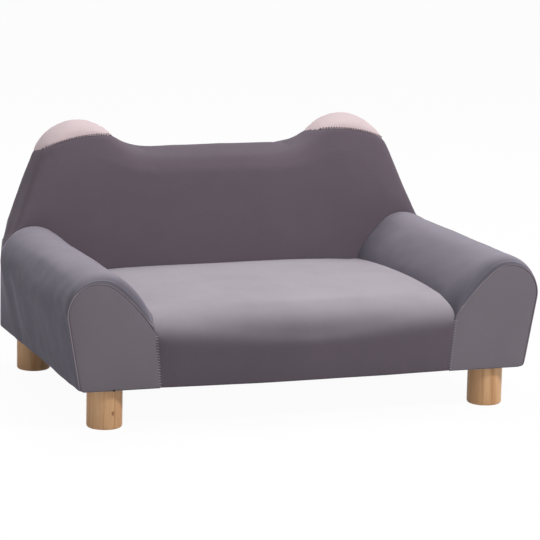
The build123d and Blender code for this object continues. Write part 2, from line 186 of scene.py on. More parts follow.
def corner_points(before, corner, after, radius, count):
    """A rounded corner between two straight runs, its last point too."""
    before, corner, after = map(np.array, (before, corner, after))
    back, on = before - corner, after - corner
    back, on = back / np.linalg.norm(back), on / np.linalg.norm(on)
    half = math.acos(max(-1.0, min(1.0, float(back @ on)))) / 2
    reach = radius / math.tan(half)
    middle = corner + (back + on) / np.linalg.norm(back + on) * radius / math.sin(half)
    first, last = (math.atan2(*(corner + way * reach - middle)[::-1]) for way in (back, on))
    sweep = (last - first + math.pi) % (2 * math.pi) - math.pi
    return arc(middle, radius, first, sweep, count, last=1)


class ArmShape:
    """The section of an arm across the sofa."""

    def __init__(self, *values):
        self.values = np.array(values)
        self.crest_x, self.crest_z, self.radius, self.flank_x, self.flank_z, self.foot_x = values
        self.centre = (self.crest_x, self.crest_z - self.radius)

    def towards(self, other, share):
        return ArmShape(*(self.values + (other.values - self.values) * share))

    def inset(self, amount):
        fall = amount * math.tan(math.radians(FLANK_TURN))
        return ArmShape(*(self.values + np.array([0, -amount, -amount, amount, -fall, -amount])))

    def side_top(self, bottom):
        """The angle and the place at which the outer side runs into the round crest."""
        angle = tangent_angle(self.centre, self.radius, (self.foot_x, bottom), 1)
        return angle, on_circle(self.centre, self.radius, angle)

    def outline(self, foot_in, bottom, hem):
        """The closed outline, from the outer foot over the crest to the inner foot and back."""
        foot, inner_foot, flank = (self.foot_x, bottom), (foot_in, bottom), (self.flank_x, self.flank_z)
        start, side_top = self.side_top(bottom)
        turn = math.radians(SHOULDER_TURN)
        shoulder = on_circle(self.centre, self.radius, SHOULDER_TURN)
        outer = corner_points(inner_foot, foot, side_top, hem, 5)
        inner = corner_points(flank, inner_foot, foot, INNER_CORNER, 3)
        path = outer[:-1] + points(outer[-1], side_top, 16)
        path += round_points(self.centre, self.radius, start, SHOULDER_TURN, 40)
        path += bend_points(shoulder, (-math.sin(turn), math.cos(turn)), flank, 18)
        path += points(flank, inner[0], 14) + inner[:-1]
        return np.array(path + points(inner[-1], outer[0], 14))


ARM_MIDDLE = ArmShape(arm_high.x - ARM_RADIUS, arm_high.z, ARM_RADIUS, ARM_IN_X, ARM_FLANK_Z, ARM_FOOT_X)
ARM_PANEL = ArmShape(arm_high.x - PANEL_IN - PANEL_RADIUS, arm_high.z - PANEL_DROP, PANEL_RADIUS,
                     ARM_IN_X + PANEL_FLANK_IN, ARM_FLANK_Z - PANEL_FLANK_DROP, ARM_FOOT_X - PANEL_IN)
ARM_REAR = ArmShape(arm_high.x - (ARM_FOOT_X - BACK_X) - ARM_REAR_RADIUS, arm_high.z - ARM_REAR_DROP,
                    ARM_REAR_RADIUS, ARM_IN_X, ARM_FLANK_Z, BACK_X)
PANEL_OUTLINE = ARM_PANEL.outline(ARM_IN_X + TOUCH, BOTTOM_Z, PANEL_CORNER)


def lean_y(z):
    """The depth of the face of the back at a height."""
    return LEAN_FOOT_Y + (z - LEAN_FOOT_Z) * LEAN


def behind(co):
    """How far each point lies behind the face of the back."""
    return co[:, 1] - lean_y(co[:, 2])


# Meshes

def mesh_piece(name, coords, faces):
    """A new mesh piece with smooth faces that point outwards."""
    mesh = bpy.data.meshes.new(name)
    mesh.from_pydata([tuple(c) for c in coords], [], faces)
    piece = bpy.data.objects.new(name, mesh)
    bpy.context.scene.collection.objects.link(piece)
    work = bmesh.new()
    work.from_mesh(mesh)
    bmesh.ops.remove_doubles(work, verts=work.verts, dist=1e-6)
    bmesh.ops.recalc_face_normals(work, faces=work.faces)
    work.to_mesh(mesh)
    work.free()
    mesh.shade_smooth()
    return piece


def loft_faces(rings, around, first=0):
    """Quads between rings of the same count that lie one after the other."""
    starts = [(first + i * around, k) for i in range(rings - 1) for k in range(around)]
    return [(a + k, a + (k + 1) % around, a + (k + 1) % around + around, a + k + around) for a, k in starts]


def loft_piece(name, rings):
    """A closed piece from a stack of closed rings, each end closed round a middle point."""
    rings = np.array(rings)
    count, around = rings.shape[:2]
    coords = list(rings.reshape(-1, 3)) + [rings[0].mean(0), rings[-1].mean(0)]
    faces = loft_faces(count, around)
    start, end, last = count * around, count * around + 1, (count - 1) * around
    for k in range(around):
        after = (k + 1) % around
        faces += [(start, after, k), (end, last + k, last + after)]
    return mesh_piece(name, coords, faces)


def tubes(name, runs):
    """One piece of closed tubes, each a run of rings with flat ends."""
    coords, faces = [], []
    for rings in runs:
        first, around = len(coords), len(rings[0])
        last = first + (len(rings) - 1) * around
        coords += [point for ring in rings for point in ring]
        faces += loft_faces(len(rings), around, first)
        faces += [tuple(range(first, first + around)), tuple(range(last, last + around))]
    return mesh_piece(name, coords, faces)


def ring_round(middle, across, up, size, count):
    """Points round a middle, in the plane of two directions."""
    turns = np.radians(np.arange(0, 360, 360 // count))
    return [middle + size * (across * math.cos(turn) + up * math.sin(turn)) for turn in turns]


def ridge_rings(line, radius, least, taper, count, high=1.0, out_share=0.0):
    """Rings round a line on the front or the rear of the sofa, smaller towards both of its ends."""
    ahead = np.gradient(line, axis=0)
    ahead /= np.linalg.norm(ahead, axis=1, keepdims=True)
    rings = []
    for k, middle in enumerate(line):
        size = radius * (least + (1 - least) * min(1, k / taper, (len(line) - 1 - k) / taper))
        out = np.array([ahead[k][2], 0, -ahead[k][0]])
        middle = middle + out * radius * out_share
        rings.append(ring_round(middle, out, np.array([0, high, 0]), size, count))
    return np.array(rings)


def coordinates(piece, what="co"):
    """The places of a piece's points, or their normals, one row each."""
    out = np.zeros(len(piece.data.vertices) * 3)
    piece.data.vertices.foreach_get(what, out)
    return out.reshape(-1, 3)


def set_coordinates(piece, co):
    piece.data.vertices.foreach_set("co", co.ravel())
    piece.data.update()


def lift_out(piece, lift):
    """Moves each point of a piece out along its normal."""
    set_coordinates(piece, coordinates(piece) + coordinates(piece, "normal") * lift[:, None])


def evaluated(piece):
    """The piece as its modifiers shape it."""
    return piece.evaluated_get(bpy.context.evaluated_depsgraph_get())


def shape_with(piece, kind, **settings):
    """Works one modifier into the piece's mesh."""
    modifier = piece.modifiers.new("shape", kind)
    for key, value in settings.items():
        setattr(modifier, key, value)
    mesh = bpy.data.meshes.new_from_object(evaluated(piece))
    piece.modifiers.remove(modifier)
    piece.data = mesh


def smoothstep(low, high, value):
    share = np.clip((value - low) / (high - low), 0, 1)
    return share * share * (3 - 2 * share)


def hit(piece, place, direction):
    """Where a line first meets a piece and the normal there, or nothing."""
    found, point, normal, _ = piece.ray_cast(Vector(place), Vector(direction))
    return (np.array(point), np.array(normal)) if found else None


def point_ways(ways, around):
    """The way along a lofted piece of each of its points, the two end points last."""
    return np.concatenate([np.repeat(ways, around), [0, ways[-1]]])


def hem_held(co):
    """How firmly the hem under the body holds each point."""
    return 1 - smoothstep(0.0, HEM_HELD, co[:, 2] - BOTTOM_Z)


PUFF_STEPS = 16
CLOTH = {"quality": 4, "mass": 0.3, "tension_stiffness": 12, "compression_stiffness": 12,
         "bending_stiffness": 0.4, "use_pressure": True}


def puff(piece, pressure, cap, held):
    """Lets a cover swell over its padding: held gives how firmly each point is sewn down."""
    rest = coordinates(piece)
    group = piece.vertex_groups.new(name="sewn")
    for index, weight in enumerate(held):
        if weight > 0.01:
            group.add([index], float(weight), "REPLACE")
    cloth = piece.modifiers.new("cover", "CLOTH")
    for key, value in CLOTH.items():
        setattr(cloth.settings, key, value)
    cloth.settings.uniform_pressure_force = pressure
    cloth.settings.effector_weights.gravity = 0
    cloth.settings.vertex_group_mass = group.name
    cloth.collision_settings.use_collision = False
    scene = bpy.context.scene
    for step in range(1, PUFF_STEPS + 1):
        scene.frame_set(step)
    moved = coordinates(evaluated(piece)) - rest
    piece.modifiers.remove(cloth)
    piece.vertex_groups.remove(group)
    scene.frame_set(1)
    reach = np.linalg.norm(moved, axis=1, keepdims=True)
    moved *= np.where(reach > cap, cap / np.maximum(reach, 1e-9), 1)
    set_coordinates(piece, rest + moved)


def drape(co, strength, size, seed, side=0):
    """Slow uneven hollows of cloth over foam, as one height for each point."""
    offset = Vector(((seed + side) * 3.7, (seed + side) * 1.9, (seed + side) * 5.3))
    return np.array([strength * noise.noise(Vector(c) / size + offset) for c in co])


def finish_piece(piece, material, slot, *replaced):
    """Dresses a piece, lets it ride on the sofa's body and hides the imported parts it replaces."""
    piece.data.materials.clear()
    piece.data.materials.append(material)
    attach(piece, BODY)
    if replaced:
        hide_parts(*replaced)
    return piece


# Materials

WHITE = (1.0, 1.0, 1.0, 1.0)


class Shader:
    """A material, or a world, of linked nodes round one main shader."""

    def __init__(self, name, store="materials", main="Principled BSDF"):
        self.owner = getattr(bpy.data, store).new(name)
        self.owner.use_nodes = True
        self.tree = self.owner.node_tree
        self.main = self.tree.nodes[main]
        self.place = self.tree.nodes.new("ShaderNodeTexCoord").outputs["Object"]

    def add(self, kind, **values):
        """Adds a node and sets its own values."""
        node = self.tree.nodes.new(kind)
        for key, value in values.items():
            setattr(node, key, value)
        return node

    def put(self, node, socket, value):
        """Links a socket to another one, or gives it a constant."""
        target = node.inputs[socket]
        if isinstance(value, bpy.types.NodeSocket):
            self.tree.links.new(value, target)
        else:
            target.default_value = value

    def fill(self, node, *pairs):
        for socket, value in pairs:
            self.put(node, socket, value)
        return node.outputs

    def mapped(self, scale=(1, 1, 1), shift=(0, 0, 0)):
        node = self.add("ShaderNodeMapping")
        return self.fill(node, ("Vector", self.place), ("Scale", scale), ("Location", shift))["Vector"]

    def noise(self, scale, detail=3.0, roughness=0.55, distortion=0.0, source=None):
        node = self.add("ShaderNodeTexNoise")
        return self.fill(node, ("Vector", source or self.place), ("Scale", scale), ("Detail", detail),
                         ("Roughness", roughness), ("Distortion", distortion))["Fac"]

    def span(self, value, low, high, to_low=0.0, to_high=1.0):
        node = self.add("ShaderNodeMapRange", clamp=True)
        return self.fill(node, ("Value", value), ("From Min", low), ("From Max", high),
                         ("To Min", to_low), ("To Max", to_high))["Result"]

    def sum(self, operation, first, second=0.0):
        return self.fill(self.add("ShaderNodeMath", operation=operation), (0, first), (1, second))["Value"]

    def blend(self, share, first, second, kind="MIX"):
        node = self.add("ShaderNodeMix", data_type="RGBA", blend_type=kind)
        first, second = (v if isinstance(v, bpy.types.NodeSocket) else (*v, 1) for v in (first, second))
        return self.fill(node, ("Factor", share), (6, first), (7, second))[2]

    def bump(self, height, strength, distance, before=None):
        node = self.add("ShaderNodeBump")
        if before:
            self.put(node, "Normal", before)
        return self.fill(node, ("Strength", strength), ("Distance", distance), ("Height", height))["Normal"]

    def finish(self, colour, roughness, normal=None, **constants):
        self.fill(self.main, ("Base Color", colour), ("Roughness", roughness))
        if normal:
            self.put(self.main, "Normal", normal)
        for socket, value in constants.items():
            self.main.inputs[socket.replace("_", " ")].default_value = value
        return self.owner

    def show_white(self, kind, output, share):
        """Shows plain white to the camera and in reflections, and the main shader to all other rays."""
        path = self.add("ShaderNodeLightPath").outputs
        seen = self.sum("MAXIMUM", path["Is Camera Ray"], path["Is Glossy Ray"])
        seen = self.sum("MULTIPLY", self.sum("MAXIMUM", seen, path["Is Transmission Ray"]), share)
        bright = self.fill(self.add(kind), ("Color", WHITE), ("Strength", 1.0))
        mix = self.fill(self.add("ShaderNodeMixShader"), ("Fac", seen), (1, self.main.outputs[0]),
                        (2, bright[0]))
        self.put(self.tree.nodes[output], "Surface", mix["Shader"])


def srgb(*colour):
    """A colour as it looks on a screen, 0 to 255, turned into light values."""
    return tuple(((c / 255 + 0.055) / 1.055) ** 2.4 if c > 10 else c / 255 / 12.92 for c in colour)


SILVER = srgb(214, 208, 222)


def velvet(name, deep, pale, nap, sheen, upright=0.0, flat=1.0, fall=1.4, brush=0.05, rim=0.4):
    """Short-pile velvet brushed along a nap, with painted light from above: the deep tone where a face
    stands upright, blending by the world normal into the second tone where it faces up.
    """
    shader = Shader(name)
    facing = shader.add("ShaderNodeSeparateXYZ")
    shader.put(facing, "Vector", shader.add("ShaderNodeNewGeometry").outputs["Normal"])
    broad = shader.noise(5.0, detail=2.0, distortion=0.6)
    brushed = shader.noise(14.0, detail=4.0, distortion=0.8, source=shader.mapped(scale=nap))
    patch = shader.sum("ADD", shader.sum("MULTIPLY", broad, 0.6), shader.sum("MULTIPLY", brushed, 0.4))
    # Painted top light: the world normal's height blends the colour towards the second tone on faces that
    # look up.
    lift = shader.sum("ADD", facing.outputs["Z"], shader.span(patch, 0.3, 0.7, -brush, brush))
    painted_top_share = shader.sum("POWER", shader.span(lift, upright, flat), fall)
    colour = shader.blend(painted_top_share, deep, pale)
    speck = shader.span(shader.noise(900.0, detail=2.0, roughness=0.7), 0.3, 0.7, 0.93, 1.07)
    tone = shader.sum("ADD", speck, shader.span(patch, 0.3, 0.7, -0.05, 0.05))
    grey = shader.fill(shader.add("ShaderNodeCombineColor"), ("Red", tone), ("Green", tone), ("Blue", tone))
    colour = shader.blend(1.0, colour, grey["Color"], kind="MULTIPLY")
    pile = shader.noise(1400.0, detail=3.0, roughness=0.6, source=shader.mapped(scale=nap))
    crush = shader.noise(60.0, detail=3.0, distortion=1.0)
    normal = shader.bump(pile, 0.20, 0.0004, before=shader.bump(crush, 0.08, 0.0012))
    return shader.finish(colour, shader.span(crush, 0.3, 0.7, 0.78, 0.94), normal, Specular_IOR_Level=0.12,
                         Sheen_Weight=sheen, Sheen_Roughness=rim, Sheen_Tint=(*SILVER, 1))


# Painted top light: the seat, arm and panel velvets turn to a paler second tone on faces that look up.
seat_velvet = velvet("velvet_seat", srgb(90, 81, 89), srgb(161, 154, 161), (1, 1, 0.35), 0.25,
                     fall=2.0, brush=0.02)
arm_velvet = velvet("velvet_arm", srgb(84, 81, 91), srgb(136, 130, 140), (1, 0.5, 1), 0.30)
panel_velvet = velvet("velvet_panel", srgb(111, 104, 111), srgb(130, 123, 130), (1, 1, 0.4), 0.20)
# Painted top shade: the back's second tone is darker, so its up-facing edges hold back the lamp above.
back_velvet = velvet("velvet_back", srgb(106, 95, 104), srgb(100, 91, 100), (1, 1, 0.4), 0.08,
                     upright=0.5, rim=0.3)
# Painted highlight: the ridge velvet is paler all over, with painted top light on its upper side too.
ridge_highlight_velvet = velvet("velvet_ridge_painted_highlight", srgb(146, 134, 141), srgb(172, 160, 167), (1, 1, 1), 0.3)
# Painted top shade: the ear's second tone is darker, so its up-facing round holds back the lamps.
ear_velvet = velvet("velvet_ear", srgb(214, 194, 196), srgb(198, 181, 183), (1, 1, 0.5), 0.15)


def make_thread():
    """Grey thread with a fine twist."""
    shader = Shader("thread")
    colour = shader.blend(shader.noise(700.0, detail=2.0), srgb(150, 142, 150), srgb(176, 168, 176))
    return shader.finish(colour, 0.7, shader.bump(shader.noise(2400.0), 0.4, 0.0002))


def wood(name, pale, warm, line, rings, grain=(1, 1, 0.06), knot=None):
    """Timber with slow bands and fine pores along its grain, and a small knot where one is given."""
    shader = Shader(name)
    band = shader.noise(rings, detail=3.0, distortion=1.2, source=shader.mapped(scale=grain))
    fine = tuple(share * 0.35 if share < 1 else 1 for share in grain)
    pores = shader.noise(rings * 14, detail=4.0, roughness=0.7, source=shader.mapped(scale=fine))
    streak = shader.noise(rings * 3.2, detail=2.0, source=shader.mapped(scale=fine, shift=(0.3, 0.1, 0)))
    colour = shader.blend(shader.span(band, 0.35, 0.65), pale, warm)
    colour = shader.blend(shader.span(streak, 0.60, 0.68, 0.0, 0.30), colour, line)
    colour = shader.blend(shader.span(pores, 0.56, 0.74, 0.0, 0.32), colour, line)
    if knot:
        flatter = (1, 1, 0.6)
        apart = shader.fill(shader.add("ShaderNodeVectorMath", operation="DISTANCE"),
                            (0, shader.mapped(scale=flatter)), (1, [k * f for k, f in zip(knot, flatter)]))
        colour = shader.blend(shader.span(apart["Value"], 0.0012, 0.0030, 0.85, 0.0), colour, line)
    normal = shader.bump(pores, 0.12, 0.0003)
    return shader.finish(colour, shader.span(band, 0.3, 0.7, 0.42, 0.56), normal, Specular_IOR_Level=0.35)


LEG_KNOT = (-0.3100, -0.2402, 0.0260)
PINE = (srgb(226, 196, 150), srgb(208, 170, 118), srgb(172, 124, 78), 45.0)
leg_wood = wood("leg_wood", srgb(216, 172, 128), srgb(196, 148, 104), srgb(132, 86, 52), 60.0,
                knot=LEG_KNOT)
pine_up = wood("pine_upright", *PINE)
pine_across = wood("pine_across", *PINE, grain=(0.06, 1, 1))
pine_deep = wood("pine_front_to_back", *PINE, grain=(1, 0.06, 1))
ply = wood("plywood", srgb(214, 184, 140), srgb(198, 162, 114), srgb(160, 118, 76), 30.0,
           grain=(0.08, 1, 1))


def make_fibreboard():
    """Thin brown board of pressed fibres."""
    shader = Shader("fibreboard")
    flecks = shader.noise(500.0, detail=4.0, roughness=0.7, distortion=0.5)
    colour = shader.blend(shader.span(flecks, 0.35, 0.65), srgb(120, 92, 66), srgb(158, 126, 94))
    return shader.finish(colour, shader.span(flecks, 0.3, 0.7, 0.7, 0.9), shader.bump(flecks, 0.3, 0.0003))


def make_zinc():
    """Bright zinc plate with faint drawn lines."""
    shader = Shader("zinc_steel")
    drawn = shader.noise(900.0, detail=2.0, source=shader.mapped(scale=(1, 1, 0.1)))
    colour = shader.blend(drawn, srgb(176, 178, 184), srgb(206, 208, 212))
    return shader.finish(colour, shader.span(drawn, 0.3, 0.7, 0.28, 0.42), shader.bump(drawn, 0.1, 0.0001),
                         Metallic=1.0)


def make_nonwoven():
    """Thin black cloth of pressed fibres, with a fine grid of welded points."""
    shader = Shader("dust_cloth")
    fibres = shader.noise(420.0, detail=4.0, roughness=0.7, distortion=1.2)
    cells = shader.fill(shader.add("ShaderNodeTexVoronoi"), ("Vector", shader.place), ("Scale", 700.0),
                        ("Randomness", 0.0))
    weld = shader.span(cells["Distance"], 0.18, 0.42, 1.0, 0.0)
    colour = shader.blend(shader.span(fibres, 0.3, 0.7), srgb(24, 23, 25), srgb(40, 38, 41))
    colour = shader.blend(shader.sum("MULTIPLY", weld, 0.5), colour, srgb(14, 14, 15))
    normal = shader.bump(weld, -0.3, 0.0002, before=shader.bump(fibres, 0.3, 0.0002))
    return shader.finish(colour, 0.88, normal, Specular_IOR_Level=0.2)


thread_grey, fibreboard, zinc, nonwoven = make_thread(), make_fibreboard(), make_zinc(), make_nonwoven()


# Arms

SEAM_RINGS = [0.0, 0.0006, 0.0012, 0.002, 0.003, 0.0045, 0.006, 0.0068, 0.0076, 0.0086, 0.0100, 0.0120,
              0.0145, 0.0170, 0.0200, 0.0230, 0.0260]
ROLL_LENGTH = 0.030
BODY_RINGS = 64
WRAP = 0.0045
WRAP_STEPS = 26
WRAP_TURN = 0.62
WRAP_PROUD = 0.0003
FLANK_EASE = 0.048
FRONT_HEM = 0.0025
FLANK_FOOT_TURN = 24.0


def eased(shape, y):
    """The section with its flank drawn in a little behind the panel, where the seat fills the corner."""
    close = 1 - smoothstep(0.0, FLANK_EASE, y - FACE_Y)
    values = shape.values.copy()
    values[3:5] = ARM_IN_X + PANEL_FLANK_IN * close, ARM_FLANK_Z - PANEL_FLANK_DROP * close
    return ArmShape(*values)


def roll_shape(share):
    """Section and depth on the rolled front edge, at a share of the way round it."""
    turn = math.radians(90 * share)
    y = FACE_Y + ROLL_DEPTH * (1 - math.cos(turn))
    return eased(ARM_PANEL.towards(ARM_MIDDLE, math.sin(turn)), y), y


def arm_rings(inset):
    """The rings of an arm from its front seam to the face of the back, with each ring's way along."""
    rings, ways = [], []
    for way in SEAM_RINGS:
        shape, y = roll_shape(way / ROLL_LENGTH)
        bottom = BOTTOM_Z + FRONT_HEM * (1 - smoothstep(0.0, SEAM_RINGS[-1], way))
        outline = shape.inset(inset * way / ROLL_LENGTH).outline(ARM_IN_X + TOUCH, bottom, HEM_ROUND)
        rings.append(np.array([(x, y, z) for x, z in outline]))
        ways.append(way)
    start = FACE_Y + ROLL_DEPTH
    for share in np.arange(BODY_RINGS + 1) / BODY_RINGS:
        shape = eased(ARM_MIDDLE.towards(ARM_REAR, share), start + (LEAN_FOOT_Y - start) * share)
        drawn = inset * (1 - smoothstep(0.85, 1.0, share))
        outline = shape.inset(drawn).outline(ARM_IN_X + TOUCH, BOTTOM_Z, HEM_ROUND)
        rings.append(np.array([(x, start + (lean_y(z) - TOUCH - start) * share, z) for x, z in outline]))
        ways.append(ROLL_LENGTH + (LEAN_FOOT_Y - start) * share)
    wrap = wrap_rings(rings[-1])
    ways += list(ways[-1] + np.linspace(0.001, REAR_Y - LEAN_FOOT_Y, len(wrap)))
    return np.array(rings + wrap), np.array(ways)


def hip_centre():
    """The centre of the long curve from the straight side of the back to the flank under an ear."""
    turn = math.radians(EAR_TURN)
    tangent = on_circle(EAR, EAR_RADIUS, EAR_TURN)
    hip_x = BACK_X - HIP_RADIUS
    reach = (hip_x + HIP_RADIUS * math.cos(turn) - tangent[0]) / math.sin(turn)
    return hip_x, tangent[1] - reach * math.cos(turn) - HIP_RADIUS * math.sin(turn)


HIP = hip_centre()
SIDE_TOP = ARM_REAR.side_top(BOTTOM_Z)[1]
WRAP_TOP = ARM_REAR.centre[1] + ARM_REAR.radius * math.sin(math.radians(FLANK_FOOT_TURN))


def side_x(share, z):
    """How far out the side of the back lies, at a share of the way from its face to its rear."""
    if z <= SIDE_TOP[1]:
        front = BACK_X + (SIDE_TOP[0] - BACK_X) * (z - BOTTOM_Z) / (SIDE_TOP[1] - BOTTOM_Z)
    else:
        rise = z - ARM_REAR.centre[1]
        front = ARM_REAR.centre[0] + math.sqrt(max(ARM_REAR.radius ** 2 - rise ** 2, 0))
    rear = HIP[0] + math.sqrt(HIP_RADIUS ** 2 - max(z - HIP[1], 0) ** 2)
    return front + (rear - front) * share


def wrap_rings(end):
    """The rings of the wrap's side, which goes on past the face of the back to the rear of the sofa."""
    centre_x, centre_z = ARM_REAR.centre
    turns = np.degrees(np.arctan2(end[:, 2] - centre_z, end[:, 0] - centre_x))
    lowest = int(np.argmin(np.abs(turns - FLANK_FOOT_TURN) + 360 * (end[:, 2] < centre_z)))
    back = np.linspace(lowest, 0, len(end) - lowest - 1)
    straight = REAR_Y - BACK_EDGE
    rings = []
    for step in np.linspace(0, 1, WRAP_STEPS):
        share = min(step / WRAP_TURN, 1)
        turned = max(step - WRAP_TURN, 0) / (1 - WRAP_TURN) * math.pi / 2
        roll = BACK_EDGE * (1 - math.cos(turned))
        run = []
        for x, _, z in end[:lowest + 1]:
            start = lean_y(z)
            y = start + (straight - start) * share + BACK_EDGE * math.sin(turned)
            hem = min(x - side_x(0, z), 0.0) if z < BOTTOM_Z + HEM_ROUND else 0.0
            run.append((side_x(share, z) - roll + hem + WRAP_PROUD * min(step * 4, 1), y, z))
        run = np.array(run)
        inside = np.column_stack([np.interp(back, range(len(run)), run[:, k]) for k in range(3)])
        inside[:, 0] -= WRAP * math.cos(turned * 0.9)
        inside[:, 1] -= WRAP * math.sin(turned * 0.9)
        rings.append(np.vstack([run, inside]))
    return rings


def seam_height(way):
    """How far the cloth beside a seam stands out: a valley, a fine ridge, the turned-in edge, then flat."""
    ridge = np.exp(-((way - SEAM_RIDGE_WAY) / SEAM_RIDGE_WIDTH) ** 2) * SEAM_RIDGE_RISE
    edge = 1 - smoothstep(SEAM_BAND - 0.0004, SEAM_BAND + 0.0010, way)
    valley = SEAM_DEPTH * np.exp(-(way / 0.0005) ** 2)
    return SEAM_BAND_RISE * smoothstep(0.0, 0.0012, way) * edge + ridge - valley


def make_arm(side):
    """The padded arm with its wrap of velvet, which goes on over the side of the back."""
    rings, ways = arm_rings(SWELL)
    piece = loft_piece(f"arm_pad_{SIDES[side]}", rings * np.array([side, 1, 1]))
    way = point_ways(ways, rings.shape[1])
    co = coordinates(piece)
    wrapped = behind(co) > -0.0005
    held = np.maximum(1 - smoothstep(*ARM_SEAM_HELD, way), hem_held(co))
    puff(piece, PRESSURE, MOST_SWELL, np.maximum(held, smoothstep(*ARM_REAR_HELD, behind(co))))
    co = coordinates(piece)
    lift = seam_height(way) + drape(co, *ARM_HOLLOWS, side) * smoothstep(*ARM_HOLLOWS_GROW, way)
    lift += drape(co, *ARM_CREASES, side) * smoothstep(*ARM_CREASES_GROW, way)
    lift[wrapped] *= WRAP_CALM
    lift_out(piece, lift)
    finish_piece(piece, arm_velvet, "velvet_grey", f"arm_cover_{SIDES[side]}", f"arm_foam_{SIDES[side]}")
    return piece


PANEL_STEPS = [0.0, 0.0005, 0.0012, 0.002, 0.003, 0.0045, 0.0065, 0.009, 0.012, 0.016, 0.021, 0.027, 0.033,
               0.039, 0.0445]


def make_panel(side):
    """The front panel of an arm: a slightly crowned cloth face whose edge drops into the seam."""
    outline = PANEL_OUTLINE
    centre = np.array([(ARM_IN_X + ARM_FOOT_X) / 2, (BOTTOM_Z + ARM_PANEL.crest_z) / 2])
    gap = np.linalg.norm(outline - centre, axis=1)
    inner = 1 - smoothstep(0.0, 0.006, outline[:, 0] - ARM_IN_X - PANEL_FLANK_IN)
    foot = 1 - smoothstep(0.0, 0.004, outline[:, 1] - BOTTOM_Z)
    behind_y = np.full(len(outline), FACE_Y + PANEL_HEM + 0.0005)
    rings = [np.column_stack([outline[:, 0], behind_y, outline[:, 1]])]
    for step in PANEL_STEPS:
        way = step / PANEL_STEPS[-1] * gap * 0.98
        flat = outline + (centre - outline) / gap[:, None] * way[:, None]
        near = np.array([np.min(np.linalg.norm(outline - point, axis=1)) for point in flat])
        seam = SEAM_DEPTH * np.exp(-(near / 0.0009) ** 2) * (1 - inner)
        hem = PANEL_HEM - np.sqrt(np.maximum(PANEL_HEM ** 2 - np.maximum(PANEL_HEM - near, 0) ** 2, 0))
        crown = PANEL_CROWN * (1 - np.exp(-near / CROWN_REACH))
        y = FACE_Y - crown + seam * (1 - foot) + hem * foot
        rings.append(np.column_stack([flat[:, 0], y, flat[:, 1]]))
    piece = loft_piece(f"arm_panel_{SIDES[side]}", np.array(rings) * np.array([side, 1, 1]))
    co = coordinates(piece)
    way = point_ways([0] + PANEL_STEPS, len(outline))
    lift = drape(co, *PANEL_HOLLOWS, side) * smoothstep(*PANEL_HOLLOWS_GROW, way)
    set_coordinates(piece, co + np.outer(lift, (0, -1, 0)))
    finish_piece(piece, panel_velvet, "velvet_grey", f"arm_front_panel_{SIDES[side]}")
    return piece


def make_seam_ridge(side):
    """The narrow turned-in edge of cloth that stands up along the seam round a panel."""
    flank = np.hypot(PANEL_OUTLINE[:, 0] - ARM_PANEL.flank_x, PANEL_OUTLINE[:, 1] - ARM_PANEL.flank_z)
    line = np.array([(x, FACE_Y - 0.0002, z) for x, z in PANEL_OUTLINE[3:int(np.argmin(flank)) + 1]])
    rings = ridge_rings(line, RIDGE_RADIUS, 0.25, 4, 8, high=1.3, out_share=0.8) * np.array([side, 1, 1])
    # Its paler velvet is a painted highlight along the seam.
    finish_piece(loft_piece(f"seam_ridge_{SIDES[side]}", rings), ridge_highlight_velvet, "velvet_grey")


# Seat

def arm_gap(arm, side, y, z):
    """How far past its straight inner side the cloth of an arm lies, at a depth and a height."""
    front = eased(ARM_PANEL, max(y, FACE_Y))
    rise = (z - BOTTOM_Z) / (front.flank_z - BOTTOM_Z)
    plain = (front.flank_x - ARM_IN_X) * min(max(rise, 0), 1)
    depth = min(max(y, FACE_Y + SEAM_BAND_START), lean_y(z) - REAR_CLEAR)
    spot = hit(arm, (side * (ARM_IN_X - 0.05), depth, max(z, BOTTOM_Z + HEM_ROUND)), (side, 0, 0))
    reach = side * spot[0][0] - ARM_IN_X if spot else 0.0
    return min(max(plain, reach + SEAT_PRESS), ARM_GAP_MOST)


def seat_outline(share, inset):
    """Depth and height round the seat at a share of its half width from the middle."""
    front = FACE_Y - SEAT_PROUD - SEAT_BOW * (1 - share ** 2) + inset
    radius = SEAT_ROLL + (SEAT_SIDE_ROLL - SEAT_ROLL) * share ** 2 - inset
    slope = SEAT_SLOPE + (SEAT_SIDE_SLOPE - SEAT_SLOPE) * share ** 2
    crest = SEAT_CREST_Z - SEAT_SIDE_DROP * share ** 4 - inset
    centre = (front + radius, crest - radius)
    foot = (front + SEAT_TUCK, BOTTOM_Z)
    start = tangent_angle(centre, radius, foot, -1) + 360
    top = 90 + SEAT_RISE
    rear_z = crest - SEAT_REAR_DROP
    rear = (lean_y(rear_z) - TOUCH - inset, rear_z)
    low = (lean_y(BOTTOM_Z) - TOUCH, BOTTOM_Z)
    hem = corner_points(low, foot, on_circle(centre, radius, start), HEM_ROUND, 5)
    roll = round_points(centre, radius, start, top, 34) + [on_circle(centre, radius, top)]
    roll = [np.array([front + (y - front) * slope, z]) for y, z in roll]
    rise = math.radians(SEAT_RISE)
    top_run = bend_points(roll[-1], (math.cos(rise), math.sin(rise)), rear, 66)
    crease = corner_points(top_run[-1], rear, low, SEAT_CREASE, 5)
    path = hem[:-1] + points(hem[-1], roll[0], 14) + roll[:-1]
    path += top_run[:-2] + crease[:-1] + points(crease[-1], low, 14) + points(low, hem[0], 30)
    return np.array(path)


def smooth(piece, times):
    """Evens out small steps in a mesh."""
    shape_with(piece, "SMOOTH", factor=0.5, iterations=times)


